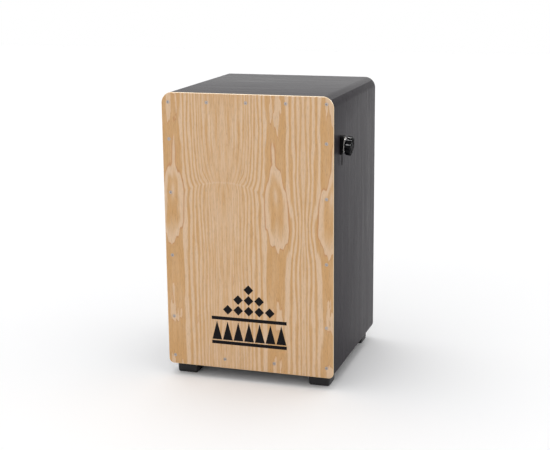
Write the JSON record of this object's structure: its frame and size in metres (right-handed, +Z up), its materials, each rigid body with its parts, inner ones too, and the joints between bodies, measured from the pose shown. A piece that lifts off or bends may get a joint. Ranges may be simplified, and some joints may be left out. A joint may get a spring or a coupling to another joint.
{
  "type": "cajon",
  "caption": "Box drum with a screwed-on veneered front plate, rounded shell, rear sound hole, inner snares on a swinging bar and a side clamp knob.",
  "frame": {"origin": "on the floor, at the middle of the whole object's footprint, clamp knob included; the box's own middle is 10 mm towards -X", "axes": "+Z up, -Y out of the tapa (the struck front plate), +X out of the side that carries the clamp knob"},
  "size_m": [0.3208, 0.296, 0.5],
  "materials": {
    "ash_veneer": "satin clear lacquer over straight and cathedral ash grain",
    "black_lacquered_wood": "black stain under satin lacquer, open grain",
    "bare_wood": "bare sanded softwood",
    "black_rubber": "moulded, matt",
    "black_plastic": "moulded, glossy",
    "zinc_steel": "zinc plated",
    "snare_steel": "bright coiled wire",
    "brass": "turned",
    "dark_cord": "thin braided cord"
  },
  "bodies": {
    "box": {"back_panel": "black_lacquered_wood", "block_screw_lower": "zinc_steel", "block_screw_upper": "zinc_steel", "bottom_panel": "black_lacquered_wood", "clamp_block": "black_plastic", "cord_bush": "black_plastic", "foot_front_left": "black_rubber", "foot_front_right": "black_rubber", "foot_rear_left": "black_rubber", "foot_rear_right": "black_rubber", "foot_screw_front_left": "zinc_steel", "foot_screw_front_right": "zinc_steel", "foot_screw_rear_left": "zinc_steel", "foot_screw_rear_right": "zinc_steel", "front_batten_bottom": "bare_wood", "front_batten_left": "bare_wood", "front_batten_right": "bare_wood", "front_batten_top": "bare_wood", "left_side_panel": "black_lacquered_wood", "pivot_block_left": "bare_wood", "pivot_block_right": "bare_wood", "pull_cord": "dark_cord", "return_spring": "zinc_steel", "right_side_panel": "black_lacquered_wood", "spring_peg": "zinc_steel", "tapa": "ash_veneer", "tapa_screw_01": "zinc_steel", "tapa_screw_02": "zinc_steel", "tapa_screw_03": "zinc_steel", "tapa_screw_04": "zinc_steel", "tapa_screw_05": "zinc_steel", "tapa_screw_06": "zinc_steel", "tapa_screw_07": "zinc_steel", "tapa_screw_08": "zinc_steel", "tapa_screw_09": "zinc_steel", "tapa_screw_10": "zinc_steel", "tapa_screw_11": "zinc_steel", "tapa_screw_12": "zinc_steel", "tapa_screw_13": "zinc_steel", "tapa_screw_14": "zinc_steel", "tapa_screw_15": "zinc_steel", "tapa_screw_16": "zinc_steel", "tapa_screw_17": "zinc_steel", "threaded_insert": "brass", "top_panel": "black_lacquered_wood"},
    "snare_bar": {"pivot_pin_left": "zinc_steel", "pivot_pin_right": "zinc_steel", "snare_bar": "bare_wood", "snare_fan_left": "snare_steel", "snare_fan_right": "snare_steel", "snare_fan_screw_left_1": "zinc_steel", "snare_fan_screw_left_2": "zinc_steel", "snare_fan_screw_right_1": "zinc_steel", "snare_fan_screw_right_2": "zinc_steel", "snare_lever": "zinc_steel", "snare_lever_screw": "zinc_steel"},
    "clamp_plate": {"clamp_plate": "zinc_steel"},
    "clamp_knob": {"clamp_knob": "black_plastic", "clamp_screw": "zinc_steel"}
  },
  "joints": [
    {"name": "snare_swing", "type": "hinge", "parent": "box", "child": "snare_bar", "pos_m": [-0.01042, -0.112, 0.36], "axis": [-1, 0, 0], "range_deg": [0, 6], "deforming": ["return_spring", "pull_cord"]},
    {"name": "clamp_slide", "type": "slide", "parent": "box", "child": "clamp_plate", "axis": [0.9936, 0, -0.1132], "range_m": [0, 0.0012]},
    {"name": "knob_turn", "type": "hinge", "parent": "clamp_plate", "child": "clamp_knob", "pos_m": [0.14458, -0.1005, 0.4145], "axis": [0.9936, 0, -0.1132], "range_deg": [0, 540]}
  ],
  "couplings": [
    {"joint": "clamp_slide", "follows": "knob_turn", "m_per_rad": 0.000127}
  ]
}
